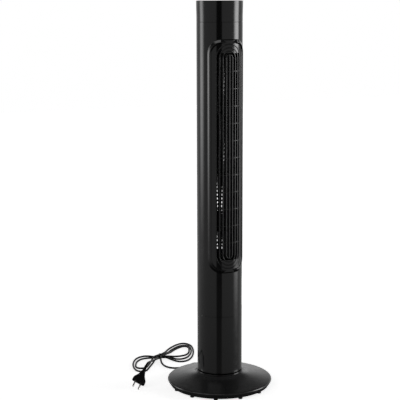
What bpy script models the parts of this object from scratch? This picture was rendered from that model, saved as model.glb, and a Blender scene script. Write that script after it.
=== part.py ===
"""A tower fan: a slim column that swings on a round base, with its mains lead lying in a tied hank.

Metres, +Z up. The origin is on the floor at the centre of the base, and the air outlet faces -Y.
"""

import math

import bmesh
import bpy
from mathutils import Matrix, Vector

# Driving dimensions, in metres.
HEIGHT = 1.180
TOWER_RADIUS = 0.0685
WALL = 0.0025
GAP = 0.0003
SIDES = 32

# Heights of the tower's joints, from the floor.
COLUMN_BOTTOM = 0.0550
COLUMN_TOP = 0.2340
BAND_BOTTOM = 1.1180
BORE = TOWER_RADIUS - WALL

# The base.
BASE_RADIUS = 0.1610
BASE_FOOT_RADIUS = 0.1527
FOOT_COUNT = 12
FOOT_RADIUS = 0.0065
FOOT_HEIGHT = 0.0060
RIM_HEIGHT = 0.0216
NECK_TOP = 0.0478
POST_RADIUS = 0.0200
SHOULDER_TOP = 0.0530

# The front opening and its grille.
OPENING_CENTRE = 0.7197
OPENING_HALF_HEIGHT = 0.3487
OPENING_HALF_WIDTH = 0.0572
OPENING_CORNER = 0.0400
RIM_RADIUS = 0.0719
RIM_WIDTH = 0.0035
GRILLE_INSIDE = 0.0640
BAR_PITCH = 0.0102
BAR_WIDTH = 0.0036
SLOT_LOW = 0.4107
SLOT_HIGH = 1.0285
ARCH_CENTRE_INSET = 0.0150
RIB_COUNT = 11
RIB_PITCH = 0.0512
RIB_TOP = 0.9757
RIB_HEIGHT = 0.0018
RIB_DEPTH = 0.0025

# The rear intake slots.
INTAKE_COUNT = 50
INTAKE_PITCH = 0.0120
INTAKE_HEIGHT = 0.0060
INTAKE_HALF_WIDTH = 0.0465
SPINE_HALF_WIDTH = 0.0040

# The impeller.
IMPELLER_LOW = 0.3185
SECTION_PITCH = 0.1760
SECTIONS = 4
IMPELLER_RADIUS = 0.0430
DISC_HALF = 0.0010
BLADES = 16
BLADE_CHORD = 0.0135
BLADE_THICKNESS = 0.0012
BLADE_PITCH_RADIUS = 0.0360
BLADE_ANGLE = math.radians(50)
SHAFT_RADIUS = 0.0040

# The swing drive.
CRANK_X = 0.0465
CRANK_THROW = 0.0050

# The control panel on top.
DECK_TOP = 1.1760
DECK_THICKNESS = 0.0030
BUTTON_SIZE = (0.0160, 0.0110)
BUTTON_PITCH = 0.0220
BUTTON_ROW_Y = -0.0150
BUTTON_PROUD = 0.0025
LENS_SIZE = (0.0500, 0.0140)
LENS_Y = 0.0150

# The mains lead: out of the base, round to the hank, and on to a plug that leans on one pin.
CORD_DIAMETER = 0.0060
LEAD_HEIGHT = 0.0155
LEAD_ROUTE = [
    (0.0000, 0.1706, LEAD_HEIGHT),
    (-0.0004, 0.1750, 0.0152),
    (-0.0055, 0.1850, 0.0125),
    (-0.0160, 0.1915, 0.0075),
    (-0.0295, 0.1925, 0.0042),
    (-0.0470, 0.1900, 0.0033),
    (-0.0640, 0.1920, 0.0032),
    (-0.0780, 0.2007, 0.0032),
    (-0.0870, 0.2165, 0.0032),
    (-0.0900, 0.2350, 0.0032),
    (-0.0880, 0.2540, 0.0032),
    (-0.0845, 0.2700, 0.0034),
    (-0.0807, 0.2830, 0.0050),
    (-0.0762, 0.2960, 0.0080),
    (-0.0710, 0.3050, 0.0093),
    (-0.0683, 0.3090, 0.0093),
]
TAIL_ROUTE = [
    (-0.0690, 0.3136, 0.0032),
    (-0.0760, 0.3076, 0.0039),
    (-0.0830, 0.2986, 0.0076),
    (-0.0905, 0.2865, 0.0116),
    (-0.1000, 0.2705, 0.0160),
    (-0.1092, 0.2548, 0.0207),
    (-0.1223, 0.2327, 0.0273),
    (-0.1353, 0.2107, 0.0340),
    (-0.1484, 0.1887, 0.0408),
    (-0.1615, 0.1667, 0.0476),
    (-0.1746, 0.1447, 0.0543),
    (-0.1877, 0.1226, 0.0608),
    (-0.1955, 0.1095, 0.0644),
    (-0.2011, 0.1017, 0.0648),
    (-0.2049, 0.0976, 0.0630),
    (-0.2071, 0.0960, 0.0607),
]
HANK_HEIGHT = 0.0125
HANK_RIGHT = [
    (-0.0473, 0.3463),
    (-0.0281, 0.3716),
    (-0.0044, 0.3975),
    (0.0241, 0.4198),
    (0.0560, 0.4329),
    (0.0715, 0.4277),
    (0.0793, 0.4123),
    (0.0809, 0.3943),
    (0.0778, 0.3766),
    (0.0661, 0.3397),
    (0.0474, 0.3003),
    (0.0220, 0.2630),
    (0.0058, 0.2485),
    (-0.0133, 0.2420),
    (-0.0310, 0.2473),
    (-0.0409, 0.2613),
    (-0.0498, 0.2926),
]
HANK_LEFT = [
    (-0.0784, 0.3106),
    (-0.0866, 0.3014),
    (-0.0988, 0.2875),
    (-0.1228, 0.2545),
    (-0.1462, 0.2230),
    (-0.1558, 0.2108),
    (-0.1686, 0.2030),
    (-0.1840, 0.2060),
    (-0.1934, 0.2210),
    (-0.1936, 0.2418),
    (-0.1888, 0.2649),
    (-0.1812, 0.2879),
    (-0.1588, 0.3288),
    (-0.1448, 0.3440),
    (-0.1283, 0.3536),
    (-0.1116, 0.3553),
    (-0.0990, 0.3480),
]
TAIL_ROOM = 0.0085
TIE_CENTRE = (-0.0635, 0.3218)
TIE_ANGLE = math.radians(22)
TIE_SIZE = (0.0140, 0.0205, 0.0148)
PLUG_START = Vector((-0.2074, 0.0958, 0.0604))
PLUG_HEADING = math.radians(216)
PLUG_DIP = math.radians(40)
PLUG_ROLL = math.radians(-42)
PLUG_SLEEVE = 0.0260
PLUG_BODY = 0.0370
PLUG_WIDTH = 0.0420
PLUG_THICKNESS = 0.0170
PIN_LENGTH = 0.0200
PIN_RADIUS = 0.0024
PIN_SPACING = 0.0190


def material(name, colour, roughness, metallic=0.0):
    """A Principled material with one colour."""
    made = bpy.data.materials.new(name)
    made.use_nodes = True
    shader = made.node_tree.nodes["Principled BSDF"]
    shader.inputs["Base Color"].default_value = (*colour, 1.0)
    shader.inputs["Roughness"].default_value = roughness
    shader.inputs["Metallic"].default_value = metallic
    return made


def start_scene():
    """An empty scene with a collection for the parts and one for the cutters."""
    for old in list(bpy.data.objects):
        bpy.data.objects.remove(old)
    for name in ("tower_fan", "cutters"):
        bpy.context.scene.collection.children.link(bpy.data.collections.new(name))


def put(piece, finish, collection="tower_fan"):
    """Link an object to its collection and give it its material."""
    bpy.data.collections[collection].objects.link(piece)
    if finish is not None:
        piece.data.materials.clear()
        piece.data.materials.append(finish)
    return piece


def body(name, shape, finish):
    """A named object from a bmesh, which is freed."""
    mesh = bpy.data.meshes.new(name)
    shape.to_mesh(mesh)
    shape.free()
    return put(bpy.data.objects.new(name, mesh), finish)


def box(name, low, high, finish, turn=0.0, bevel=0.0):
    """A box between two corners, then turned about the Z axis of the world."""
    shape = bmesh.new()
    bmesh.ops.create_cube(shape, size=1.0)
    size = [high[i] - low[i] for i in range(3)]
    middle = [(high[i] + low[i]) / 2 for i in range(3)]
    bmesh.ops.scale(shape, vec=size, verts=shape.verts)
    bmesh.ops.translate(shape, vec=middle, verts=shape.verts)
    bmesh.ops.rotate(shape, cent=(0, 0, 0), matrix=Matrix.Rotation(turn, 3, "Z"), verts=shape.verts)
    piece = body(name, shape, finish)
    if bevel:
        round_edges(piece, bevel)
    return piece


def round_edges(piece, width, segments=1):
    """Bevel the sharp edges of a piece."""
    edge = piece.modifiers.new("round", "BEVEL")
    edge.width = width
    edge.segments = segments
    edge.limit_method = "ANGLE"
    edge.angle_limit = math.radians(40)
    return piece


def rod(name, radius, low, high, finish, sides=16):
    """A cylinder between two points."""
    shape = bmesh.new()
    start, end = Vector(low), Vector(high)
    bmesh.ops.create_cone(
        shape, cap_ends=True, segments=sides, radius1=radius, radius2=radius, depth=(end - start).length
    )
    turn = Vector((0, 0, 1)).rotation_difference(end - start).to_matrix()
    bmesh.ops.rotate(shape, cent=(0, 0, 0), matrix=turn, verts=shape.verts)
    bmesh.ops.translate(shape, vec=(start + end) / 2, verts=shape.verts)
    return smooth(body(name, shape, finish))


def smooth(piece):
    """Smooth shading with sharp edges kept."""
    piece.data.shade_smooth()
    piece.data.set_sharp_from_angle(angle=math.radians(35))
    return piece


def turned(name, profile, finish, steps=SIDES, centre=(0.0, 0.0)):
    """A turned solid from (radius, height) points that run down the outer side.

    A profile that begins and ends on the axis makes a full solid, and any other is a closed ring section.
    """
    ring = min(radius for radius, _ in profile) > 0
    shape = bmesh.new()
    points = [shape.verts.new((radius, 0, height)) for radius, height in profile]
    for start, end in zip(points, points[1:]):
        shape.edges.new((start, end))
    if ring:
        shape.edges.new((points[-1], points[0]))
    piece = body(name, shape, finish)
    piece.location = (*centre, 0)
    screw = piece.modifiers.new("turn", "SCREW")
    screw.steps = steps
    screw.render_steps = steps
    screw.use_merge_vertices = True
    screw.merge_threshold = 0.00001
    return piece


def tube_profile(inner, outer, low, high):
    """The section of a plain tube, for turned()."""
    return [(inner, high), (outer, high), (outer, low), (inner, low)]


def disc_profile(radius, low, high):
    """The section of a plain disc, for turned()."""
    return [(0, high), (radius, high), (radius, low), (0, low)]


def flat(name, outline, low, high, finish):
    """A closed solid from a flat outline, between two heights."""
    curve = bpy.data.curves.new(name, "CURVE")
    curve.dimensions = "2D"
    curve.fill_mode = "BOTH"
    curve.extrude = (high - low) / 2
    spline = curve.splines.new("POLY")
    spline.points.add(len(outline) - 1)
    for point, (x, y) in zip(spline.points, outline):
        point.co = (x, y, 0, 1)
    spline.use_cyclic_u = True
    piece = put(bpy.data.objects.new(name, curve), finish)
    piece.location = (0, 0, (low + high) / 2)
    return piece


def as_mesh(piece):
    """Turn a curve object into a mesh object, with its caps welded on."""
    bpy.context.view_layer.update()
    evaluated = piece.evaluated_get(bpy.context.evaluated_depsgraph_get())
    mesh = bpy.data.meshes.new_from_object(evaluated)
    shape = bmesh.new()
    shape.from_mesh(mesh)
    bmesh.ops.remove_doubles(shape, verts=shape.verts, dist=0.00001)
    bmesh.ops.recalc_face_normals(shape, faces=shape.faces)
    shape.to_mesh(mesh)
    shape.free()
    name, place = piece.name, piece.matrix_world.copy()
    bpy.data.objects.remove(piece)
    made = bpy.data.objects.new(name, mesh)
    made.matrix_world = place
    bpy.data.collections["tower_fan"].objects.link(made)
    return made


def combine(piece, other, operation):
    """A Boolean with a tool object, which moves to the cutters."""
    step = piece.modifiers.new(operation.lower(), "BOOLEAN")
    step.operation = operation
    step.object = other
    other.hide_render = True
    other.display_type = "WIRE"
    bpy.data.collections["tower_fan"].objects.unlink(other)
    bpy.data.collections["cutters"].objects.link(other)
    return piece


def cut(piece, *tools):
    for tool in tools:
        combine(piece, tool, "DIFFERENCE")
    return piece


def keep_inside(piece, tool):
    return combine(piece, tool, "INTERSECT")


def join(piece, *tools):
    for tool in tools:
        combine(piece, tool, "UNION")
    return piece


def polar(radius, angle):
    """A point at an angle from the front, -Y, towards +X."""
    return (radius * math.sin(angle), -radius * math.cos(angle))


def rounded_rectangle(half_width, half_height, corner, steps=6):
    """Outline points of a rectangle with round corners."""
    points = []
    for quarter, (side, end) in enumerate(((1, 1), (-1, 1), (-1, -1), (1, -1))):
        for step in range(steps + 1):
            angle = math.pi / 2 * (quarter + step / steps)
            x = side * (half_width - corner) + corner * math.cos(angle)
            y = end * (half_height - corner) + corner * math.sin(angle)
            points.append((x, y))
    return points


def opening_prism(name, inset):
    """The outlet's rounded outline, pushed through the front of the tower."""
    outline = rounded_rectangle(
        OPENING_HALF_WIDTH - inset, OPENING_HALF_HEIGHT - inset, OPENING_CORNER - inset
    )
    depth = 0.10
    prism = flat(name, outline, 0, depth, None)
    prism.rotation_euler = (math.pi / 2, 0, 0)
    prism.location = (0, -depth / 2 - 0.01, OPENING_CENTRE)
    return as_mesh(prism)


def smooth_route(points, spacing):
    """Points about a spacing apart on a smooth curve through the given ones."""
    ends = [points[0] * 2 - points[1], *points, points[-1] * 2 - points[-2]]
    route = []
    for before, start, end, after in zip(ends, ends[1:], ends[2:], ends[3:]):
        count = max(2, round((end - start).length / spacing))
        for step in range(count):
            t = step / count
            route.append(
                0.5
                * (
                    2 * start
                    + (end - before) * t
                    + (2 * before - 5 * start + 4 * end - after) * t**2
                    + (3 * start - before - 3 * end + after) * t**3
                )
            )
    return [*route, points[-1]]


def wire(name, points, diameter, finish):
    """A round tube through points, with filled ends."""
    curve = bpy.data.curves.new(name, "CURVE")
    curve.dimensions = "3D"
    curve.bevel_depth = diameter / 2
    curve.bevel_resolution = 2
    curve.use_fill_caps = True
    spline = curve.splines.new("POLY")
    spline.points.add(len(points) - 1)
    for point, place in zip(spline.points, points):
        point.co = (*place, 1)
    return put(bpy.data.objects.new(name, curve), finish)


def build_base(black, rubber, steel, nylon):
    """The dome, its closing plate, weight and feet, and the post that the tower turns on."""
    wall_foot = FOOT_HEIGHT
    outer = [
        (0.0560, NECK_TOP),
        (0.0705, NECK_TOP),
        (0.0730, 0.0455),
        (0.0780, 0.0415),
        (0.0860, 0.0378),
        (0.1000, 0.0342),
        (0.1300, 0.0290),
        (0.1540, 0.0252),
        (0.1596, 0.0238),
        (BASE_RADIUS, RIM_HEIGHT),
        (0.1604, 0.0185),
        (BASE_FOOT_RADIUS, wall_foot),
    ]
    inner = [
        (BASE_FOOT_RADIUS - WALL, wall_foot),
        (0.1575, 0.0200),
        (0.1530, 0.0227),
        (0.1000, 0.0317),
        (0.0850, 0.0353),
        (0.0755, 0.0400),
        (0.0705, 0.0453),
        (0.0560, 0.0453),
    ]
    cover = turned("base_cover", outer + inner, black, steps=40)
    exit_hole = rod("exit_hole", 0.0058, (0, 0.14, LEAD_HEIGHT), (0, 0.18, LEAD_HEIGHT), None)
    cut(cover, exit_hole)
    turned("base_plate", disc_profile(0.1490, FOOT_HEIGHT + GAP, FOOT_HEIGHT + 0.0030), black)
    turned("base_weight", tube_profile(0.0450, 0.1250, 0.0093, 0.0133), steel)
    turned("swivel_collar", tube_profile(0.0570, 0.0705, NECK_TOP + GAP, 0.0520), black)
    for number in range(FOOT_COUNT):
        x, y = polar(BASE_FOOT_RADIUS - FOOT_RADIUS - 0.0007, 2 * math.pi * number / FOOT_COUNT)
        foot = rod(f"foot_{number + 1:02}", FOOT_RADIUS, (x, y, 0), (x, y, FOOT_HEIGHT - GAP), rubber, 12)
        round_edges(foot, 0.0006)
    post = [
        (0.0160, 0.0800),
        (POST_RADIUS, 0.0800),
        (POST_RADIUS, SHOULDER_TOP),
        (0.0300, SHOULDER_TOP),
        (0.0300, SHOULDER_TOP - 0.0030),
        (0.0220, SHOULDER_TOP - 0.0050),
        (0.0220, 0.0150),
        (0.0440, 0.0130),
        (0.0440, 0.0093),
        (0.0160, 0.0093),
    ]
    turned("swivel_post", post, black, steps=24)
    low = SHOULDER_TOP + GAP
    turned("thrust_washer", tube_profile(POST_RADIUS + GAP, 0.0300, low, low + 0.0017), nylon, steps=24)
    turned("post_retainer", tube_profile(POST_RADIUS + GAP, 0.0285, 0.0610, 0.0640), steel, steps=24)
    build_fork(steel)


def build_fork(steel):
    """A slotted arm on a leg, under the swing crank's pin."""
    arm = box("swing_fork", (0.0330, -0.0060, 0.0430), (0.0555, 0.0060, 0.0455), steel)
    leg = box("fork_leg", (0.0480, -0.0060, 0.0136), (0.0520, 0.0060, 0.0440), None)
    slot = box("fork_slot", (0.0360, -0.0018, 0.0400), (0.0470, 0.0018, 0.0500), None)
    join(arm, leg)
    cut(arm, slot)


def build_tower(black, steel, nylon):
    """The outer tube in its pieces, the floor it turns on and the side scoop."""
    floor_low = SHOULDER_TOP + 2 * GAP + 0.0017
    floor_high = floor_low + 0.0032
    floor = turned("tower_floor", tube_profile(POST_RADIUS + 0.0007, BORE - GAP, floor_low, floor_high), black)
    cut(floor, rod("crank_hole", 0.0033, (CRANK_X, 0, 0.05), (CRANK_X, 0, 0.07), None))
    turned("lower_column", tube_profile(BORE, TOWER_RADIUS, COLUMN_BOTTOM, COLUMN_TOP - GAP), black)
    front = turned("front_housing", tube_profile(BORE, TOWER_RADIUS, COLUMN_TOP, BAND_BOTTOM - GAP), black)
    cut(front, box("front_half", (-0.1, -GAP / 2, 0.1), (0.1, 0.1, 1.3), None))
    cut(front, opening_prism("outlet", 0))
    rear = turned("rear_housing", tube_profile(BORE, TOWER_RADIUS, COLUMN_TOP, BAND_BOTTOM - GAP), black)
    cut(rear, box("rear_half", (-0.1, -0.1, 0.1), (0.1, GAP / 2, 1.3), None))
    cut(rear, intake_cutter())
    build_side_insert(front, black)
    motor_low = COLUMN_TOP + 0.0220
    turned("motor_mount", tube_profile(0.0120, 0.0630, motor_low, motor_low + 0.0030), steel)
    turned("bearing_bracket", tube_profile(0.0113, GRILLE_INSIDE - GAP, 1.0420, 1.0450), black)
    turned("top_bearing", tube_profile(SHAFT_RADIUS + GAP, 0.0110, 1.0395, 1.0475), nylon, steps=16)


def intake_cutter():
    """Every rear slot as one cutter, left and right of the spine."""
    low = SLOT_LOW + 0.0100
    shape = bmesh.new()
    for number in range(INTAKE_COUNT):
        for side in (-1, 1):
            block = bmesh.ops.create_cube(shape, size=1.0)["verts"]
            width = INTAKE_HALF_WIDTH - SPINE_HALF_WIDTH
            centre = (side * (SPINE_HALF_WIDTH + width / 2), 0.065, low + number * INTAKE_PITCH)
            bmesh.ops.scale(shape, vec=(width, 0.06, INTAKE_HEIGHT), verts=block)
            bmesh.ops.translate(shape, vec=centre, verts=block)
    return body("intake_slots", shape, None)


def build_side_insert(front, black):
    """A scoop let into the front housing's right-hand side: it slopes inwards down to a ledge."""
    low, high, half_width, turn = 0.2560, 0.3520, 0.0150, math.radians(-20)
    window = box("side_window", (0.05, -half_width, low), (0.08, half_width, high), None, turn)
    cut(front, window)
    insert = turned("side_insert", tube_profile(0.0635, TOWER_RADIUS, 0.24, 0.37), black)
    bounds = box(
        "insert_bounds",
        (0.05, -half_width + GAP, low + GAP),
        (0.08, half_width - GAP, high - GAP),
        None,
        turn,
    )
    keep_inside(insert, bounds)
    ramp = bmesh.new()
    bmesh.ops.create_cube(ramp, size=1.0)
    bmesh.ops.scale(ramp, vec=(0.02, 0.04, 0.12), verts=ramp.verts)
    bmesh.ops.translate(ramp, vec=(0.01, 0, 0.06), verts=ramp.verts)
    lean = Matrix.Rotation(math.atan2(0.0023, high - low), 3, "Y")
    bmesh.ops.rotate(ramp, cent=(0, 0, 0), matrix=lean, verts=ramp.verts)
    bmesh.ops.translate(ramp, vec=(TOWER_RADIUS - 0.0026, 0, low - 0.001), verts=ramp.verts)
    bmesh.ops.rotate(ramp, cent=(0, 0, 0), matrix=Matrix.Rotation(turn, 3, "Z"), verts=ramp.verts)
    cut(insert, body("insert_ramp", ramp, None))


def build_grille(black):
    """The outlet grille with its raised rim and vertical slots, and the ribs behind its bars."""
    low, high = OPENING_CENTRE - 0.36, OPENING_CENTRE + 0.36
    grille = turned("front_grille", tube_profile(GRILLE_INSIDE, RIM_RADIUS, low, high), black)
    keep_inside(grille, opening_prism("grille_outline", GAP))
    recess = turned("grille_recess", tube_profile(0.0685, 0.09, low, high), None)
    keep_inside(recess, opening_prism("recess_outline", RIM_WIDTH))
    cut(grille, recess)
    slots = bmesh.new()
    arch_centre = SLOT_HIGH - ARCH_CENTRE_INSET
    for gap_number in range(4):
        middle = (gap_number + 0.5) * BAR_PITCH
        reach = min(SLOT_HIGH, arch_centre + middle + (BAR_PITCH - BAR_WIDTH) / 2)
        fall = 2 * OPENING_CENTRE - reach
        for side in (-1, 1):
            block = bmesh.ops.create_cube(slots, size=1.0)["verts"]
            size = (BAR_PITCH - BAR_WIDTH, 0.03, reach - fall)
            bmesh.ops.scale(slots, vec=size, verts=block)
            bmesh.ops.translate(slots, vec=(0, -TOWER_RADIUS, OPENING_CENTRE), verts=block)
            turn = Matrix.Rotation(side * middle / (TOWER_RADIUS + 0.0015), 3, "Z")
            bmesh.ops.rotate(slots, cent=(0, 0, 0), matrix=turn, verts=block)
    cut(grille, body("grille_slots", slots, None))
    build_guard(black)


def build_guard(black):
    """The horizontal ribs, joined by a rail at each side of the slots."""
    outer = GRILLE_INSIDE - GAP
    edge = math.radians(36)
    section = tube_profile(outer - RIB_DEPTH, outer, -RIB_HEIGHT / 2, RIB_HEIGHT / 2)
    ribs = turned("grille_guard", section, black, steps=24)
    copies = ribs.modifiers.new("repeat", "ARRAY")
    copies.count = RIB_COUNT
    copies.use_relative_offset = False
    copies.use_constant_offset = True
    copies.constant_offset_displace = (0, 0, RIB_PITCH)
    ribs.location.z = RIB_TOP - (RIB_COUNT - 1) * RIB_PITCH
    wedge = flat(
        "guard_wedge", [(0, 0), polar(0.12, -edge), polar(0.12, edge)], SLOT_LOW - 0.05, SLOT_HIGH + 0.05, None
    )
    keep_inside(ribs, as_mesh(wedge))
    for side in (-1, 1):
        rail = box(
            "guard_rail",
            (-0.0015, -outer + 0.0001, SLOT_LOW),
            (0.0015, -outer + RIB_DEPTH, SLOT_HIGH),
            None,
            side * (edge - math.radians(2)),
        )
        join(ribs, rail)


def build_air_guides(black):
    """The two curved sheets beside the impeller."""
    low, high, thickness = IMPELLER_LOW - 0.0020, 1.0300, 0.0015
    for name, side in (("air_scroll", 1), ("air_tongue", -1)):
        inner, outer = [], []
        for step in range(9):
            share = step / 8
            angle = side * math.radians(52 + 66 * share)
            radius = 0.0600 - 0.0130 * share
            inner.append(polar(radius, angle))
            outer.append(polar(radius + thickness, angle))
        flat(name, inner + outer[::-1], low, high, black)


def build_impeller(grey, steel):
    """Four bladed sections, their end disc with its stub shaft, and the motor's shaft."""
    for number in range(SECTIONS):
        low = IMPELLER_LOW + number * SECTION_PITCH
        high = low + SECTION_PITCH - DISC_HALF - GAP
        disc = turned(
            f"impeller_{number + 1}", disc_profile(IMPELLER_RADIUS, low - DISC_HALF, low + DISC_HALF), grey, steps=24
        )
        blades = bmesh.new()
        for blade in range(BLADES):
            block = bmesh.ops.create_cube(blades, size=1.0)["verts"]
            bmesh.ops.scale(blades, vec=(BLADE_THICKNESS, BLADE_CHORD, high - low), verts=block)
            bmesh.ops.rotate(blades, cent=(0, 0, 0), matrix=Matrix.Rotation(BLADE_ANGLE, 3, "Z"), verts=block)
            bmesh.ops.translate(blades, vec=(0, -BLADE_PITCH_RADIUS, (low + high) / 2), verts=block)
            turn = 2 * math.pi * (blade + number / SECTIONS) / BLADES
            bmesh.ops.rotate(blades, cent=(0, 0, 0), matrix=Matrix.Rotation(turn, 3, "Z"), verts=block)
        join(disc, body("blades", blades, None))
    top = IMPELLER_LOW + SECTIONS * SECTION_PITCH
    end = [
        (0, 1.0500),
        (SHAFT_RADIUS, 1.0500),
        (SHAFT_RADIUS, top + DISC_HALF),
        (IMPELLER_RADIUS, top + DISC_HALF),
        (IMPELLER_RADIUS, top - DISC_HALF),
        (0, top - DISC_HALF),
    ]
    turned("impeller_end", end, grey, steps=24)
    turned("motor_shaft", disc_profile(SHAFT_RADIUS, 0.2650, IMPELLER_LOW - DISC_HALF - GAP), steel, steps=12)


def build_drives(steel, grey, black):
    """The fan motor with its capacitor, the swing motor and its crank."""
    motor = [
        (SHAFT_RADIUS + GAP, 0.3100),
        (0.0110, 0.3100),
        (0.0120, 0.3050),
        (0.0330, 0.3030),
        (0.0360, 0.2990),
        (0.0360, 0.2660),
        (0.0330, 0.2593),
        (SHAFT_RADIUS + GAP, 0.2593),
    ]
    turned("motor_body", motor, steel, steps=24)
    rod("capacitor", 0.0100, (0, 0.0500, 0.2593), (0, 0.0500, 0.2900), grey)
    rod("swing_motor", 0.0165, (CRANK_X, 0, 0.0590), (CRANK_X, 0, 0.0770), steel, 24)
    crank = rod("swing_crank", 0.0078, (CRANK_X, 0, 0.0500), (CRANK_X, 0, 0.0540), steel)
    shaft = rod("crank_shaft", 0.0029, (CRANK_X, 0, 0.0530), (CRANK_X, 0, 0.0587), None, 12)
    pin_x = CRANK_X - CRANK_THROW
    pin = rod("crank_pin", 0.0015, (pin_x, 0, 0.0462), (pin_x, 0, 0.0510), None, 12)
    join(crank, shaft, pin)
    origin_to(crank, (CRANK_X, 0, 0.0520))


def origin_to(piece, place):
    """Move a piece's origin without moving its shape."""
    shift = Matrix.Translation(Vector(place) - piece.location)
    piece.data.transform(shift.inverted())
    piece.location = place


def build_panel(black, grey, lens, board_green):
    """The head of the tower: its band, deck, display lens, circuit board and four buttons."""
    band = [
        (BORE, HEIGHT - 0.0008),
        (0.0668, HEIGHT),
        (0.0686, HEIGHT),
        (0.0694, HEIGHT - 0.0010),
        (0.0690, 1.1600),
        (TOWER_RADIUS, 1.1400),
        (TOWER_RADIUS, BAND_BOTTOM),
        (BORE, BAND_BOTTOM),
    ]
    turned("display_band", band, black)
    deck_low = DECK_TOP - DECK_THICKNESS
    deck = turned("top_deck", disc_profile(BORE - GAP, deck_low, DECK_TOP), black)
    half_x, half_y = LENS_SIZE[0] / 2, LENS_SIZE[1] / 2
    lens_hole = box(
        "lens_hole", (-half_x - GAP, LENS_Y - half_y - GAP, 1.1), (half_x + GAP, LENS_Y + half_y + GAP, 1.2), None
    )
    cut(deck, lens_hole)
    box("display_lens", (-half_x, LENS_Y - half_y, deck_low), (half_x, LENS_Y + half_y, DECK_TOP), lens)
    box("control_board", (-0.0450, -0.0280, 1.1600), (0.0450, 0.0280, 1.1616), board_green)
    for place, name in enumerate(("power", "speed", "timer", "swing")):
        x = (place - 1.5) * BUTTON_PITCH
        build_button(deck, f"button_{name}", x, grey)


def build_button(deck, name, x, grey):
    """A push button in its hole, with a flange below the deck that keeps it in."""
    half_x, half_y = BUTTON_SIZE[0] / 2, BUTTON_SIZE[1] / 2
    deck_low = DECK_TOP - DECK_THICKNESS
    hole = box(
        "button_hole",
        (x - half_x - GAP, BUTTON_ROW_Y - half_y - GAP, 1.1),
        (x + half_x + GAP, BUTTON_ROW_Y + half_y + GAP, 1.2),
        None,
    )
    cut(deck, hole)
    cap = box(
        name,
        (x - half_x, BUTTON_ROW_Y - half_y, deck_low - 0.0010),
        (x + half_x, BUTTON_ROW_Y + half_y, DECK_TOP + BUTTON_PROUD),
        grey,
    )
    flange = box(
        "button_flange",
        (x - half_x - 0.0015, BUTTON_ROW_Y - half_y - 0.0015, deck_low - 0.0030),
        (x + half_x + 0.0015, BUTTON_ROW_Y + half_y + 0.0015, deck_low - GAP),
        None,
    )
    stem = rod("button_stem", 0.0020, (x, BUTTON_ROW_Y, 1.1640), (x, BUTTON_ROW_Y, deck_low - 0.0010), None, 8)
    join(cap, flange, stem)
    origin_to(cap, (x, BUTTON_ROW_Y, DECK_TOP))


def beside_tie(along, across):
    """A point from the tie's centre, along the bundle and across it."""
    turn = Matrix.Rotation(TIE_ANGLE, 2)
    return Vector(TIE_CENTRE) + turn @ Vector((along, across))


def hank_lobe(name, side, route, finish):
    """One open end of the hank as a closed solid of its outer shape, clear of the tail on its left."""
    face = side * (TIE_SIZE[0] / 2 + GAP)
    half = TIE_SIZE[1] / 2
    near = half - (TAIL_ROOM if side < 0 else 0)
    far_end, near_end = beside_tie(face, half), beside_tie(face, -near)
    ends = [far_end, near_end] if side > 0 else [near_end, far_end]
    places = [Vector((*place, 0)) for place in (ends[0], *route, ends[1])]
    outline = [(place.x, place.y) for place in smooth_route(places, 0.012)]
    flat(name, outline, GAP, HANK_HEIGHT, finish)


def build_cord(rubber, brass):
    """The mains lead: sleeve, free lengths, tied hank and plug."""
    sleeve = turned(
        "cord_strain_relief", [(0, 0.0210), (0.0037, 0.0210), (0.0055, 0.0100), (0.0055, 0), (0, 0)], rubber, steps=16
    )
    sleeve.rotation_euler = (-math.pi / 2, 0, 0)
    sleeve.location = (0, 0.1490, LEAD_HEIGHT)
    wire("cord_lead", smooth_route([Vector(p) for p in LEAD_ROUTE], 0.0065), CORD_DIAMETER, rubber)
    wire("cord_tail", smooth_route([Vector(p) for p in TAIL_ROUTE], 0.0080), CORD_DIAMETER, rubber)
    hank_lobe("cord_hank_right", 1, HANK_RIGHT, rubber)
    hank_lobe("cord_hank_left", -1, HANK_LEFT, rubber)
    length, width, height = TIE_SIZE
    tie = box("cord_tie", (-length / 2, -width / 2, GAP), (length / 2, width / 2, height), rubber, TIE_ANGLE)
    tie.location = (*TIE_CENTRE, 0)
    build_plug(rubber, brass)


def build_plug(rubber, brass):
    """A moulded two-pin plug, its sleeve towards the lead."""
    body_end = PLUG_SLEEVE + PLUG_BODY
    half = PLUG_WIDTH / 2
    outline = [
        (PLUG_SLEEVE - 0.004, -0.0065),
        (PLUG_SLEEVE + 0.010, -0.0085),
        (PLUG_SLEEVE + 0.022, -half + 0.002),
        (PLUG_SLEEVE + 0.030, -half),
        (body_end, -half),
        (body_end, half),
        (PLUG_SLEEVE + 0.030, half),
        (PLUG_SLEEVE + 0.022, half - 0.002),
        (PLUG_SLEEVE + 0.010, 0.0085),
        (PLUG_SLEEVE - 0.004, 0.0065),
    ]
    half_thickness = PLUG_THICKNESS / 2
    block = as_mesh(flat("plug_body", outline, -half_thickness, half_thickness, rubber))
    block.data.materials.clear()
    block.data.materials.append(rubber)
    shape = bmesh.new()
    bmesh.ops.create_cone(shape, cap_ends=True, segments=16, radius1=0.0036, radius2=0.0062, depth=PLUG_SLEEVE)
    bmesh.ops.rotate(shape, cent=(0, 0, 0), matrix=Matrix.Rotation(math.pi / 2, 3, "Y"), verts=shape.verts)
    bmesh.ops.translate(shape, vec=(PLUG_SLEEVE / 2, 0, 0), verts=shape.verts)
    sleeve = body("plug_sleeve", shape, None)
    join(block, sleeve)
    pins = []
    for name, side in (("plug_pin_left", 1), ("plug_pin_right", -1)):
        y = side * PIN_SPACING / 2
        pin = rod(name, PIN_RADIUS, (body_end + GAP, y, 0), (body_end + PIN_LENGTH, y, 0), brass, 12)
        pins.append(pin)
    for piece in (block, sleeve, *pins):
        piece.location = PLUG_START
        piece.rotation_euler = (PLUG_ROLL, PLUG_DIP, PLUG_HEADING)


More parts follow.
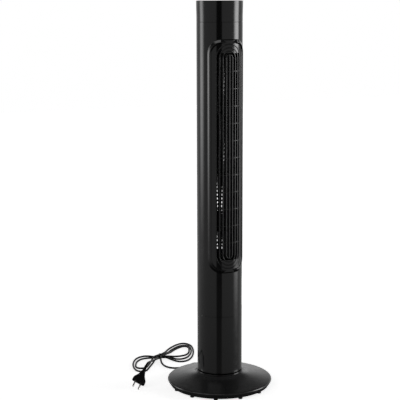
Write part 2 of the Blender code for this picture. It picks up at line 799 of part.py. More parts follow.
def main():
    start_scene()
    black = material("gloss_black", (0.020, 0.020, 0.021), 0.12)
    grey = material("satin_grey", (0.060, 0.060, 0.062), 0.40)
    rubber = material("black_rubber", (0.015, 0.015, 0.015), 0.55)
    steel = material("zinc_steel", (0.55, 0.56, 0.57), 0.35, 1.0)
    nylon = material("white_nylon", (0.80, 0.80, 0.77), 0.45)
    brass = material("nickel_brass", (0.62, 0.60, 0.56), 0.25, 1.0)
    lens = material("smoked_lens", (0.010, 0.010, 0.012), 0.05)
    board_green = material("board_green", (0.02, 0.16, 0.06), 0.50)
    build_base(black, rubber, steel, nylon)
    build_tower(black, steel, nylon)
    build_grille(black)
    build_air_guides(black)
    build_impeller(grey, steel)
    build_drives(steel, grey, black)
    build_panel(black, grey, lens, board_green)
    build_cord(rubber, brass)


main()
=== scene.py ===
"""The looks of a tower fan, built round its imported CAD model: shells, grille, impeller, base and lead."""

import math

import bmesh
import bpy
from mathutils import Euler, Matrix, Vector


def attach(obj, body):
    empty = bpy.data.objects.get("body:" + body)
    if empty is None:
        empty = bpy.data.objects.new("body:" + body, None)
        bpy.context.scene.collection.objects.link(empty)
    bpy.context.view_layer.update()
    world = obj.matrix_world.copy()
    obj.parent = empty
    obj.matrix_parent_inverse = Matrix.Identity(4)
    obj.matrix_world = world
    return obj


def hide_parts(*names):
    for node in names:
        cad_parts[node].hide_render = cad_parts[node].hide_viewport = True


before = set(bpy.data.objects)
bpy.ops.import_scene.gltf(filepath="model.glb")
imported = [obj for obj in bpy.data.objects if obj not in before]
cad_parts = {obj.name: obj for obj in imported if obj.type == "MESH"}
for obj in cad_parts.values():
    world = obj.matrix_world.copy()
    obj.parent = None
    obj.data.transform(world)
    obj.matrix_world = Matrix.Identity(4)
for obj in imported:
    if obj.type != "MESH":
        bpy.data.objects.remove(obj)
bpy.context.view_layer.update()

# Driving dimensions of the CAD model, in metres.
TOWER_RADIUS = 0.0685
BORE = 0.0660
GAP = 0.0003
COLUMN_BOTTOM = 0.0550
COLUMN_TOP = 0.2340
BAND_BOTTOM = 1.1180
HEIGHT = 1.1800
OPENING_CENTRE = 0.7197
OPENING_HALF_HEIGHT = 0.3487
OPENING_HALF_WIDTH = 0.0679
OPENING_CORNER = 0.0440
RIM_CREST = 0.0719
BAR_PITCH = 0.0102
BAR_WIDTH = 0.0036
SLOT_LOW = 0.4107
SLOT_HIGH = 1.0285
ARCH_CENTRE_INSET = 0.0150
INTAKE_COUNT = 50
INTAKE_PITCH = 0.0120
INTAKE_HEIGHT = 0.0060
INTAKE_EDGE = 0.0465
SPINE_HALF_WIDTH = 0.0040
IMPELLER_LOW = 0.3185
SECTION_PITCH = 0.1760
SECTIONS = 4
BLADES = 16
DECK_TOP = 1.1760
BASE_NECK_TOP = 0.0478
FOOT_COUNT = 12
FEET = [f"foot_{number:02}" for number in range(1, FOOT_COUNT + 1)]
CORD_DIAMETER = 0.0060

# The camera looks at the front from the left, a little downwards. The studio is set out from VIEW_ANGLE.
CAMERA_PLACE = (-1.4473, -3.0297, 1.1696)
CAMERA_HEADING = math.radians(24.521)
CAMERA_PITCH = math.radians(9.900)
CAMERA_ROLL = math.radians(-0.176)
CAMERA_LENS = 101.05
VIEW_ANGLE = math.radians(25.5)


# Node and material helpers.


def node(tree, kind, inputs=None, **settings):
    """A shader node. An input's value is a number, a colour or another node's output socket."""
    made = tree.nodes.new(kind)
    for name, value in settings.items():
        setattr(made, name, value)
    for name, value in (inputs or {}).items():
        socket = made.inputs[name]
        if isinstance(value, bpy.types.NodeSocket):
            tree.links.new(value, socket)
        else:
            socket.default_value = value
    return made


def maths(tree, operation, first, second=0.0):
    """The result of a maths node."""
    return node(tree, "ShaderNodeMath", {0: first, 1: second}, operation=operation).outputs[0]


def ramp(tree, value, low, high, start=0.0, end=1.0):
    """A smooth step from start to end while value goes from low to high."""
    sources = {0: value, 1: low, 2: high, 3: start, 4: end}
    return node(tree, "ShaderNodeMapRange", sources, interpolation_type="SMOOTHSTEP").outputs[0]


def window(tree, value, low, high, soft):
    """One between low and high, nothing outside, with soft edges."""
    rise = ramp(tree, value, low - soft, low + soft)
    fall = ramp(tree, value, high - soft, high + soft, 1.0, 0.0)
    return maths(tree, "MULTIPLY", rise, fall)


def noise(tree, place, scale, detail=2.0, roughness=0.5):
    """Fractal noise, from nought to one."""
    sources = {"Vector": place, "Scale": scale, "Detail": detail, "Roughness": roughness}
    return node(tree, "ShaderNodeTexNoise", sources).outputs["Fac"]


def finish(
    name, colour, roughness, spread=0.06, tint=0.25, grain=900.0, depth=0.00002, patch=22.0, **sockets
):
    """A surface whose colour, polish and fine relief all vary a little.

    spread is how far the roughness wanders, tint how far the colour does, grain the scale of the relief
    and depth its height, and patch the scale of the wandering. Other arguments are the shader's own
    sockets.
    """
    made = bpy.data.materials.new(name)
    made.use_nodes = True
    tree = made.node_tree
    shader = tree.nodes["Principled BSDF"]
    place = node(tree, "ShaderNodeTexCoord").outputs["Object"]
    wander = noise(tree, place, patch, 4.0, 0.55)
    shades = {0: ramp(tree, wander, 0.3, 0.7), 6: (*[c * (1 - tint) for c in colour], 1), 7: (*colour, 1)}
    mix = node(tree, "ShaderNodeMix", shades, data_type="RGBA")
    tree.links.new(mix.outputs[2], shader.inputs["Base Color"])
    smears = noise(tree, place, patch * 3.1, 3.0)
    polish = ramp(tree, smears, 0.3, 0.7, roughness - spread, roughness + spread)
    tree.links.new(polish, shader.inputs["Roughness"])
    relief = {"Height": noise(tree, place, grain, 2.0), "Distance": depth, "Strength": 1.0}
    bump = node(tree, "ShaderNodeBump", relief)
    tree.links.new(bump.outputs[0], shader.inputs["Normal"])
    for socket, value in sockets.items():
        shader.inputs[socket.replace("_", " ")].default_value = value
    return made


GLOSS = finish("gloss_black_moulding", (0.0050, 0.0050, 0.0053), 0.13, 0.03, grain=260, depth=0.000004)
BASE_GLOSS = finish("base_black_moulding", (0.0200, 0.0200, 0.0205), 0.24, 0.03, grain=260, depth=0.000004)
SATIN = finish("satin_black_moulding", (0.0080, 0.0080, 0.0084), 0.42, 0.06, grain=1500, depth=0.00002)
DRUM = finish("drum_moulding", (0.0100, 0.0100, 0.0105), 0.38, 0.08, grain=1200, depth=0.00002)
BUTTON = finish("button_moulding", (0.045, 0.045, 0.047), 0.46, 0.05, grain=2600, depth=0.00003)
RUBBER = finish(
    "soft_black_pvc", (0.0060, 0.0060, 0.0063), 0.42, 0.08, grain=1800, depth=0.00003, Specular_IOR_Level=0.22
)
FOOT = finish("foot_rubber", (0.0130, 0.0130, 0.0130), 0.75, 0.08, grain=1400, depth=0.00004)
PIN = finish("nickel_plate", (0.62, 0.61, 0.58), 0.24, 0.08, 0.1, grain=900, depth=0.00001, Metallic=1.0)
IRON = finish("cast_iron", (0.16, 0.16, 0.165), 0.62, 0.12, 0.45, grain=500, depth=0.0002, Metallic=0.8)
STEEL = finish("zinc_plate", (0.55, 0.56, 0.57), 0.34, 0.10, 0.2, grain=1100, depth=0.00003, Metallic=1.0)
NYLON = finish("nylon", (0.78, 0.78, 0.74), 0.48, 0.06, 0.08, grain=1300, depth=0.00002)
CAN = finish("capacitor_can", (0.28, 0.28, 0.29), 0.45, 0.06, 0.15, grain=1000, depth=0.00002)
LENS = finish("smoked_window", (0.0030, 0.0030, 0.0036), 0.05, 0.02, 0.3, grain=200, depth=0.000002)
BOARD = finish("circuit_board", (0.02, 0.15, 0.06), 0.40, 0.08, 0.35, grain=700, depth=0.00004)

SLOT_FINISH = {
    "gloss_black": GLOSS,
    "satin_black": SATIN,
    "drum_grey": DRUM,
    "button_grey": BUTTON,
    "black_rubber": RUBBER,
    "plated_pin": PIN,
    "weight_iron": IRON,
    "zinc_steel": STEEL,
    "white_nylon": NYLON,
    "capacitor_grey": CAN,
    "smoked_lens": LENS,
    "board_green": BOARD,
}


# Shape helpers.

# Points closer than this are one point. A cut piece keeps edges sharp above CUT_SHARP degrees.
SAME_PLACE = 1e-6
CUT_SHARP = 28
CORNERS = ((1, 1), (-1, 1), (-1, -1), (1, -1))


def add(name, shape, slot, body, *nodes, look=None, sharp=35):
    """A finished piece from a bmesh: it rides on a body and stands for the CAD nodes named."""
    mesh = bpy.data.meshes.new(name)
    bmesh.ops.recalc_face_normals(shape, faces=shape.faces)
    shape.to_mesh(mesh)
    shape.free()
    mesh.materials.append(look or SLOT_FINISH[slot])
    piece = bpy.data.objects.new(name, mesh)
    bpy.context.scene.collection.objects.link(piece)
    shade(piece, sharp)
    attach(piece, body)
    if nodes:
        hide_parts(*nodes)
    return piece


def shade(piece, sharp):
    """Smooth shading that keeps the large faces true and the sharp edges sharp."""
    piece.data.shade_smooth()
    piece.data.set_sharp_from_angle(angle=math.radians(sharp))
    even = piece.modifiers.new("even_shading", "WEIGHTED_NORMAL")
    even.keep_sharp = True


def softened(outline, steps=4):
    """A closed outline with its corners cut round. Each corner is (x, y) or (x, y, distance cut back)."""
    points = []
    for index, corner in enumerate(outline):
        here = Vector(corner[:2])
        cut = corner[2] if len(corner) > 2 else 0
        if not cut:
            points.append(here)
            continue
        before = here + (Vector(outline[index - 1][:2]) - here).normalized() * cut
        after = here + (Vector(outline[(index + 1) % len(outline)][:2]) - here).normalized() * cut
        for step in range(steps + 1):
            t = step / steps
            points.append(before * (1 - t) ** 2 + here * 2 * t * (1 - t) + after * t**2)
    return points


def turned(profile, steps=160):
    """A turned solid from a closed (radius, height) outline, or one that starts and ends on the axis."""
    shape = bmesh.new()
    on_axis = min(radius for radius, _ in profile) < SAME_PLACE
    points = [shape.verts.new((radius, 0, height)) for radius, height in profile]
    pairs = list(zip(points, points[1:])) + ([] if on_axis else [(points[-1], points[0])])
    edges = [shape.edges.new(pair) for pair in pairs]
    full_turn = {"cent": (0, 0, 0), "axis": (0, 0, 1), "angle": math.tau, "steps": steps, "use_merge": True}
    bmesh.ops.spin(shape, geom=points + edges, **full_turn)
    bmesh.ops.remove_doubles(shape, verts=shape.verts, dist=SAME_PLACE)
    return shape


def on_tower(arc, radius, height):
    """A point on the tower: arc is the distance round from the front, at the tower's own radius."""
    angle = arc / TOWER_RADIUS
    return (radius * math.sin(angle), -radius * math.cos(angle), height)


def swept(shape, path, section, closed):
    """Sweeps a closed section along an (arc, height) path on the tower. The section is (across, radius)."""
    rings = []
    for index, (arc, height) in enumerate(path):
        before = path[index - 1] if closed or index else path[0]
        after = path[(index + 1) % len(path)] if closed or index + 1 < len(path) else path[-1]
        along = (Vector(after) - Vector(before)).normalized()
        ring = []
        for side, radius in section:
            ring.append(shape.verts.new(on_tower(arc + side * along.y, radius, height - side * along.x)))
        rings.append(ring)
    pairs = list(zip(rings, rings[1:])) + ([(rings[-1], rings[0])] if closed else [])
    join_rings(shape, pairs)
    if not closed:
        shape.faces.new(rings[0])
        shape.faces.new(rings[-1])


def join_rings(shape, pairs):
    """Quads between each pair of rings of vertices."""
    for one, two in pairs:
        for index in range(len(one)):
            after = (index + 1) % len(one)
            shape.faces.new((one[index], one[after], two[after], two[index]))


def round_rectangle(half_x, half_y, corner, steps, inset=0.0):
    """Points (x, y) round a rectangle with round corners. The inset draws the whole outline in."""
    points = []
    for quarter, (side, end) in enumerate(CORNERS):
        for step in range(steps + 1):
            angle = math.pi / 2 * (quarter + step / steps)
            x = side * (half_x - corner) + (corner - inset) * math.cos(angle)
            y = end * (half_y - corner) + (corner - inset) * math.sin(angle)
            points.append((x, y))
    return points


def racetrack(half_width, half_height, corner, centre, steps):
    """A closed (arc, height) path round a rectangle with round corners, with no point twice."""
    path = []
    for across, up in round_rectangle(half_width, half_height, corner, steps):
        point = (across, centre + up)
        if not path or (Vector(point) - Vector(path[-1])).length > SAME_PLACE:
            path.append(point)
    if (Vector(path[0]) - Vector(path[-1])).length < SAME_PLACE:
        path.pop()
    return path


def curved_sheet(columns, rows, keep, outer, inner, turn=0.0):
    """A sheet bent round the tower, built on a grid of arc columns and height rows.

    rows(arc) gives that column's heights, keep(arc, row) says whether a cell is there, and outer and
    inner give the radius at an arc and a height.
    """
    shape = bmesh.new()
    heights = [rows(arc) for arc in columns]
    found = {}

    def corner(column, row, layer):
        key = (column, row, layer)
        if key not in found:
            arc, height = columns[column], heights[column][row]
            radius = (outer, inner)[layer](arc, height)
            found[key] = shape.verts.new(on_tower(arc, radius, height))
        return found[key]

    last_column, last_row = len(columns) - 1, len(heights[0]) - 1

    def kept(column, row):
        inside = 0 <= column < last_column and 0 <= row < last_row
        return inside and keep((columns[column] + columns[column + 1]) / 2, row)

    for column in range(last_column):
        for row in range(last_row):
            if not kept(column, row):
                continue
            around = [(column, row), (column + 1, row), (column + 1, row + 1), (column, row + 1)]
            shape.faces.new([corner(*place, 0) for place in around])
            shape.faces.new([corner(*place, 1) for place in reversed(around)])
            beyond = [(column, row - 1), (column + 1, row), (column, row + 1), (column - 1, row)]
            for side, place in enumerate(beyond):
                if not kept(*place):
                    start, end = around[side], around[(side + 1) % 4]
                    wall = [corner(*start, 0), corner(*start, 1), corner(*end, 1), corner(*end, 0)]
                    shape.faces.new(wall)
    bmesh.ops.rotate(shape, cent=(0, 0, 0), matrix=Matrix.Rotation(turn, 3, "Z"), verts=shape.verts)
    return shape


def spread_out(start, end, count):
    """Evenly spaced values from start to end, with count gaps between them."""
    return [start + (end - start) * step / count for step in range(count + 1)]


def smooth_route(points, spacing):
    """Points about a spacing apart on a smooth curve through the given ones."""
    ends = [points[0] * 2 - points[1], *points, points[-1] * 2 - points[-2]]
    route = []
    for before, start, end, after in zip(ends, ends[1:], ends[2:], ends[3:]):
        count = max(2, round((end - start).length / spacing))
        for step in range(count):
            t = step / count
            bend = (2 * before - 5 * start + 4 * end - after) * t**2
            twist = (3 * start - before - 3 * end + after) * t**3
            route.append((2 * start + (end - before) * t + bend + twist) / 2)
    return [*route, points[-1]]


def merge_into(shape, part):
    """Adds a bmesh to another and frees it."""
    mesh = bpy.data.meshes.new("part")
    part.to_mesh(mesh)
    part.free()
    shape.from_mesh(mesh)
    bpy.data.meshes.remove(mesh)


def cut_away(piece, cutter):
    """Cuts a bmesh out of a finished piece and applies the cut to the piece's mesh."""
    mesh = bpy.data.meshes.new("cutter")
    bmesh.ops.recalc_face_normals(cutter, faces=cutter.faces)
    cutter.to_mesh(mesh)
    cutter.free()
    tool = bpy.data.objects.new("cutter", mesh)
    bpy.context.scene.collection.objects.link(tool)
    piece.modifiers.clear()
    step = piece.modifiers.new("cut", "BOOLEAN")
    step.operation = "DIFFERENCE"
    step.object = tool
    bpy.context.view_layer.update()
    evaluated = piece.evaluated_get(bpy.context.evaluated_depsgraph_get())
    result = bpy.data.meshes.new_from_object(evaluated)
    piece.modifiers.clear()
    old, name = piece.data, piece.data.name
    piece.data = result
    bpy.data.meshes.remove(old)
    result.name = name
    shade(piece, CUT_SHARP)
    bpy.data.objects.remove(tool)
    bpy.data.meshes.remove(mesh)


# Camera, light and floor.

LEFT_BOX = 3.4
RIGHT_BOX = 6.4
FRONT_BOX = 1.9
BACKDROP = 0.6
ROOM = 0.42
FLOOR_HALF_SIZE = 9.0


def make_camera():
    """The camera at the photograph's viewing angle."""
    data = bpy.data.cameras.new("view")
    data.lens = CAMERA_LENS
    data.sensor_width = 36.0
    data.clip_start = 0.1
    data.clip_end = 100.0
    camera = bpy.data.objects.new("view", data)
    turn = Matrix.Rotation(-CAMERA_HEADING, 4, "Z")
    tilt = Matrix.Rotation(math.pi / 2 - CAMERA_PITCH, 4, "X")
    roll = Matrix.Rotation(CAMERA_ROLL, 4, "Z")
    camera.matrix_world = Matrix.Translation(CAMERA_PLACE) @ turn @ tilt @ roll
    bpy.context.scene.collection.objects.link(camera)
    bpy.context.scene.camera = camera


def make_light():
    """A studio set out by bearing, from the camera's side, and by height, both in degrees.

    The room is dim, and darker behind the camera and towards floor and ceiling. It holds a tall soft
    box on each side, one high at the left front and a pale backdrop. The gloss shows them, and the
    camera sees white.
    """
    world = bpy.data.worlds.new("studio")
    bpy.context.scene.world = world
    world.use_nodes = True
    tree = world.node_tree
    direction = node(tree, "ShaderNodeTexCoord").outputs["Generated"]
    turned_round = {"Vector": direction, "Angle": VIEW_ANGLE}
    facing = node(tree, "ShaderNodeVectorRotate", turned_round, rotation_type="Z_AXIS").outputs[0]
    axes = node(tree, "ShaderNodeSeparateXYZ", {0: facing}).outputs
    degree = 180 / math.pi
    backwards = maths(tree, "MULTIPLY", axes[1], -1.0)
    bearing = maths(tree, "MULTIPLY", maths(tree, "ARCTAN2", axes[0], backwards), degree)
    height = maths(tree, "MULTIPLY", maths(tree, "ARCSINE", axes[2]), degree)
    off_axis = maths(tree, "ABSOLUTE", bearing)

    def times(one, other):
        return maths(tree, "MULTIPLY", one, other)

    box_tops = ramp(tree, height, 15, 35, 1.0, 0.0)
    left_box = times(window(tree, bearing, -112, -90, 9), ramp(tree, height, -13, -3.2))
    right_box = times(window(tree, bearing, 80, 107, 8), ramp(tree, height, -17, -5))
    front_box = times(window(tree, bearing, -72, 8, 4), window(tree, height, 31, 44, 2))
    above_horizon = times(ramp(tree, height, -1, 2), ramp(tree, height, 6, 30, 1.0, 0.0))
    backdrop = times(ramp(tree, off_axis, 105, 135), above_horizon)
    camera_side = window(tree, bearing, -15.5, 11, 1.5)
    camera_shade = times(camera_side, ramp(tree, height, -21, -12, 0.20, 0.39))
    floor_fade = times(ramp(tree, height, -32, -21, 0.12, 1.0), ramp(tree, height, -21, -12, 0.62, 1.0))
    fade = times(floor_fade, ramp(tree, height, 10, 24, 1.0, 0.18))
    parts = [
        times(times(left_box, LEFT_BOX), box_tops),
        times(times(right_box, RIGHT_BOX), box_tops),
        times(backdrop, BACKDROP),
        times(front_box, FRONT_BOX),
        times(maths(tree, "SUBTRACT", ROOM, camera_shade), fade),
    ]
    total = parts[0]
    for part in parts[1:]:
        total = maths(tree, "ADD", total, part)

    seen = node(tree, "ShaderNodeLightPath").outputs["Is Camera Ray"]
    strength = node(tree, "ShaderNodeMix", {0: seen, 2: total, 3: 1.0}, data_type="FLOAT").outputs[0]
    background = tree.nodes["Background"]
    background.inputs["Color"].default_value = (1, 1, 1, 1)
    tree.links.new(strength, background.inputs["Strength"])
    bpy.context.scene.view_settings.view_transform = "Standard"


def make_floor():
    """A plain pale floor, which the tower's gloss doesn't mirror."""
    shape = bmesh.new()
    bmesh.ops.create_grid(shape, x_segments=8, y_segments=8, size=FLOOR_HALF_SIZE)
    mesh = bpy.data.meshes.new("floor")
    shape.to_mesh(mesh)
    shape.free()
    pale = (0.93, 0.93, 0.93)
    look = finish("pale_floor", pale, 0.9, 0.02, 0.01, grain=60, depth=0.00001, Emission_Strength=0.75)
    mesh.materials.append(look)
    floor = bpy.data.objects.new("floor", mesh)
    bpy.context.scene.collection.objects.link(floor)
    floor.visible_glossy = False
    floor.visible_diffuse = False


# The mains lead, in metres. Its exit, its tie and its plug are where the CAD model has them. Its hank is
# wound strand by strand, where the CAD model has two solid lobes.

CORD_EXIT = (0.0, 0.1700, 0.0155)
CORD_SPACING = 0.003
FLOOR_LAYER = 0.0031
UPPER_LAYER = 0.0093

LEAD = [
    (0.0000, 0.1706, 0.0155),
    (-0.0004, 0.1750, 0.0152),
    (-0.0055, 0.1850, 0.0125),
    (-0.0160, 0.1915, 0.0075),
    (-0.0295, 0.1925, 0.0042),
    (-0.0470, 0.1900, 0.0033),
    (-0.0640, 0.1920),
    (-0.0780, 0.2007),
    (-0.0870, 0.2165),
    (-0.0900, 0.2350),
    (-0.0880, 0.2540),
    (-0.0845, 0.2700, 0.0034),
    (-0.0807, 0.2830, 0.0050),
    (-0.0762, 0.2960, 0.0080),
    (-0.0710, 0.3050, UPPER_LAYER),
    (-0.0665, 0.3113, UPPER_LAYER),
]
INNER_RIGHT_LOOP = [
    (-0.0609, 0.3154, UPPER_LAYER),
    (-0.0520, 0.3202, UPPER_LAYER),
    (-0.0420, 0.3263, UPPER_LAYER),
    (-0.0315, 0.3350, 0.0079),
    (-0.0210, 0.3465, 0.0052),
    (-0.0100, 0.3585),
    (0.0020, 0.3700),
    (0.0150, 0.3800),
    (0.0280, 0.3885),
    (0.0410, 0.3945),
    (0.0515, 0.3970),
    (0.0600, 0.3905),
    (0.0610, 0.3760),
    (0.0555, 0.3595),
    (0.0490, 0.3448),
    (0.0415, 0.3295),
    (0.0315, 0.3155),
    (0.0185, 0.3060),
    (0.0045, 0.3025),
    (-0.0095, 0.3030),
    (-0.0220, 0.3070),
    (-0.0330, 0.3128),
    (-0.0435, 0.3192),
    (-0.0540, 0.3250),
]
OUTER_LEFT_LOOP = [
    (-0.0656, 0.3274),
    (-0.0775, 0.3294),
    (-0.0880, 0.3355),
    (-0.0975, 0.3450),
    (-0.1110, 0.3515),
    (-0.1270, 0.3500),
    (-0.1425, 0.3410),
    (-0.1560, 0.3265),
    (-0.1680, 0.3075),
    (-0.1780, 0.2865),
    (-0.1855, 0.2640),
    (-0.1900, 0.2415),
    (-0.1900, 0.2225),
    (-0.1820, 0.2095),
    (-0.1695, 0.2065),
    (-0.1585, 0.2130),
    (-0.1490, 0.2250),
]
SECOND_CROSSING = [
    (-0.1380, 0.2400),
    (-0.1255, 0.2565),
    (-0.1130, 0.2735),
    (-0.1015, 0.2895, 0.0050),
    (-0.0900, 0.3035, 0.0088),
    (-0.0775, 0.3163, UPPER_LAYER),
    (-0.0635, 0.3212, UPPER_LAYER),
    (-0.0500, 0.3280, UPPER_LAYER),
    (-0.0385, 0.3375, 0.0079),
    (-0.0275, 0.3495, 0.0052),
]
MIDDLE_RIGHT_LOOP = [
    (-0.0175, 0.3620),
    (-0.0060, 0.3735),
    (0.0070, 0.3845),
    (0.0200, 0.3945),
    (0.0330, 0.4025),
    (0.0470, 0.4065),
    (0.0600, 0.4035),
    (0.0670, 0.3930),
    (0.0670, 0.3780),
    (0.0625, 0.3620),
    (0.0570, 0.3450),
    (0.0490, 0.3280),
    (0.0395, 0.3115),
    (0.0280, 0.2960),
    (0.0155, 0.2825),
    (0.0010, 0.2740),
    (-0.0140, 0.2720),
    (-0.0265, 0.2790),
    (-0.0335, 0.2915),
    (-0.0400, 0.3048),
    (-0.0503, 0.3161),
    (-0.0626, 0.3216),
    (-0.0755, 0.3223),
    (-0.0880, 0.3228),
]
INNER_LEFT_LOOP = [
    (-0.1010, 0.3255),
    (-0.1135, 0.3283),
    (-0.1260, 0.3280),
    (-0.1385, 0.3230),
    (-0.1505, 0.3130),
    (-0.1620, 0.2980),
    (-0.1715, 0.2795),
    (-0.1778, 0.2630),
    (-0.1785, 0.2490),
    (-0.1710, 0.2385),
    (-0.1585, 0.2360),
    (-0.1470, 0.2435),
]
THIRD_CROSSING = [
    (-0.1350, 0.2590),
    (-0.1230, 0.2750, 0.0036),
    (-0.1110, 0.2910, 0.0060),
    (-0.0990, 0.3065, 0.0088),
    (-0.0875, 0.3180, UPPER_LAYER),
    (-0.0760, 0.3235, UPPER_LAYER),
    (-0.0645, 0.3268, UPPER_LAYER),
    (-0.0540, 0.3335, UPPER_LAYER),
    (-0.0445, 0.3440, 0.0079),
    (-0.0350, 0.3565, 0.0052),
]
OUTER_RIGHT_LOOP = [
    (-0.0255, 0.3695),
    (-0.0145, 0.3825),
    (-0.0020, 0.3950),
    (0.0115, 0.4065),
    (0.0260, 0.4170),
    (0.0410, 0.4255),
    (0.0560, 0.4295),
    (0.0690, 0.4245),
    (0.0760, 0.4110),
    (0.0775, 0.3945),
    (0.0745, 0.3775),
    (0.0695, 0.3595),
    (0.0630, 0.3410),
    (0.0545, 0.3215),
    (0.0445, 0.3020),
    (0.0330, 0.2830),
    (0.0195, 0.2655),
    (0.0040, 0.2515),
    (-0.0130, 0.2455),
    (-0.0280, 0.2500),
    (-0.0375, 0.2630),
    (-0.0425, 0.2785),
    (-0.0465, 0.2935),
    (-0.0493, 0.3045),
    (-0.0540, 0.3116),
]
TAIL = [
    (-0.0613, 0.3155),
    (-0.0690, 0.3134),
    (-0.0760, 0.3076, 0.0039),
    (-0.0830, 0.2986, 0.0076),
    (-0.0905, 0.2865, 0.0116),
    (-0.1000, 0.2705, 0.0160),
    (-0.1092, 0.2548, 0.0207),
    (-0.1223, 0.2327, 0.0273),
    (-0.1353, 0.2107, 0.0340),
    (-0.1484, 0.1887, 0.0408),
    (-0.1615, 0.1667, 0.0476),
    (-0.1746, 0.1447, 0.0543),
    (-0.1877, 0.1226, 0.0608),
    (-0.1955, 0.1095, 0.0644),
    (-0.2011, 0.1017, 0.0648),
    (-0.2049, 0.0976, 0.0630),
    (-0.2074, 0.0958, 0.0604),
]
TIE_CENTRE = (-0.0635, 0.3218)
TIE_ANGLE = math.radians(22)
PLUG_START = Vector((-0.2074, 0.0958, 0.0604))
PLUG_HEADING = math.radians(216)
PLUG_DIP = math.radians(40)
PLUG_ROLL = math.radians(-42)
PLUG_GROOVE_PITCH = 0.0030
PLUG_GROOVE_DEPTH = 0.0009
PIN_SPACING = 0.0190
# The plug along its length: (distance, half width, half thickness, squareness of the section).
PLUG_STATIONS = [
    (0.0000, 0.0035, 0.0035, 2.0),
    (0.0010, 0.0042, 0.0041, 2.0),
    (0.0190, 0.0054, 0.0050, 2.0),
    (0.0240, 0.0072, 0.0056, 2.2),
    (0.0300, 0.0088, 0.0064, 2.6),
    (0.0370, 0.0112, 0.0074, 3.0),
    (0.0430, 0.0152, 0.0080, 3.4),
    (0.0490, 0.0192, 0.0083, 3.8),
    (0.0530, 0.0206, 0.0084, 4.2),
    (0.0600, 0.0209, 0.0085, 4.6),
    (0.0624, 0.0207, 0.0084, 4.6),
    (0.0630, 0.0199, 0.0077, 4.6),
]
PLUG_SLEEVE_END = 0.0190
# A pin's outline: (radius, distance along the plug).
PIN_OUTLINE = [
    (0, 0.0830),
    (0.0012, 0.0829),
    (0.0020, 0.0822),
    (0.0024, 0.0810),
    (0.0024, 0.0632),
    (0, 0.0632),
]
RELIEF_START = 0.1490


def cord_points():
    """Every point of the route in order. A point with no height lies on the floor."""
    stretches = (
        LEAD,
        INNER_RIGHT_LOOP,
        OUTER_LEFT_LOOP,
        SECOND_CROSSING,
        MIDDLE_RIGHT_LOOP,
        INNER_LEFT_LOOP,
        THIRD_CROSSING,
        OUTER_RIGHT_LOOP,
        TAIL,
    )
    return [Vector((*point, FLOOR_LAYER)[:3]) for stretch in stretches for point in stretch]


def make_cord():
    """The whole lead as one round cord, with its strain relief, tie and plug."""
    route = smooth_route(cord_points(), CORD_SPACING)
    curve = bpy.data.curves.new("mains_lead", "CURVE")
    curve.dimensions = "3D"
    curve.bevel_depth = CORD_DIAMETER / 2
    curve.bevel_resolution = 4
    curve.use_fill_caps = True
    spline = curve.splines.new("POLY")
    spline.points.add(len(route) - 1)
    for point, place in zip(spline.points, route):
        point.co = (*place, 1)
    spline.use_smooth = True
    curve.materials.append(RUBBER)
    cord = bpy.data.objects.new("mains_lead", curve)
    bpy.context.scene.collection.objects.link(cord)
    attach(cord, "base")
    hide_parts("cord_lead", "cord_hank_left", "cord_hank_right", "cord_tail")
    relief = make_strain_relief()
    tie = make_tie()
    plug, pins = make_plug()


def make_strain_relief():
    """The tapered sleeve at the base, with flexing ribs round it."""
    profile = [(0, 0.0000), (0.0054, 0.0000), (0.0054, 0.0095)]
    for rib in range(4):
        start = 0.0105 + rib * 0.0024
        size = 0.0054 - rib * 0.0003
        profile += [(size - 0.0010, start), (size - 0.0010, start + 0.0008)]
        profile += [(size, start + 0.0012), (size - 0.0001, start + 0.0023)]
    profile += [(0.0036, 0.0206), (0.0036, 0.0210), (0, 0.0210)]
    shape = turned(profile, 40)
    bmesh.ops.rotate(shape, cent=(0, 0, 0), matrix=Matrix.Rotation(-math.pi / 2, 3, "X"), verts=shape.verts)
    bmesh.ops.translate(shape, vec=(0, RELIEF_START, CORD_EXIT[2]), verts=shape.verts)
    return add("strain_relief", shape, "black_rubber", "base", "cord_strain_relief", sharp=50)


def make_tie():
    """A narrow cable tie round the middle of the hank, with its head on the near side."""
    shape = bmesh.new()
    left, right, low, high = -0.0103, 0.0094, 0.0003, 0.0128
    loop = [(left, low, 0.002), (right, low, 0.002), (right, high, 0.003), (left, high, 0.003)]
    outline = softened(loop, 5)
    middle = Vector((-0.0004, 0.0065))
    rings = []
    for point in outline:
        outward = (point - middle).normalized() * 0.0009
        ring = []
        for along, layer in ((-0.0018, 0), (0.0018, 0), (0.0018, 1), (-0.0018, 1)):
            across, up = point + outward * layer
            ring.append((along, across, max(up, 0.0001)))
        rings.append([shape.verts.new(place) for place in ring])
    join_rings(shape, list(zip(rings, rings[1:])) + [(rings[-1], rings[0])])
    head = bmesh.ops.create_cube(shape, size=1.0)["verts"]
    bmesh.ops.scale(shape, vec=(0.0052, 0.0036, 0.0044), verts=head)
    bmesh.ops.translate(shape, vec=(0, -0.0114, 0.0070), verts=head)
    corners = [edge for edge in shape.edges if edge.verts[0] in head and edge.verts[1] in head]
    bmesh.ops.bevel(shape, geom=corners, offset=0.0006, segments=2, affect="EDGES")
    bmesh.ops.rotate(shape, cent=(0, 0, 0), matrix=Matrix.Rotation(TIE_ANGLE, 3, "Z"), verts=shape.verts)
    bmesh.ops.translate(shape, vec=(*TIE_CENTRE, 0), verts=shape.verts)
    return add("cord_tie_band", shape, "black_rubber", "base", "cord_tie")


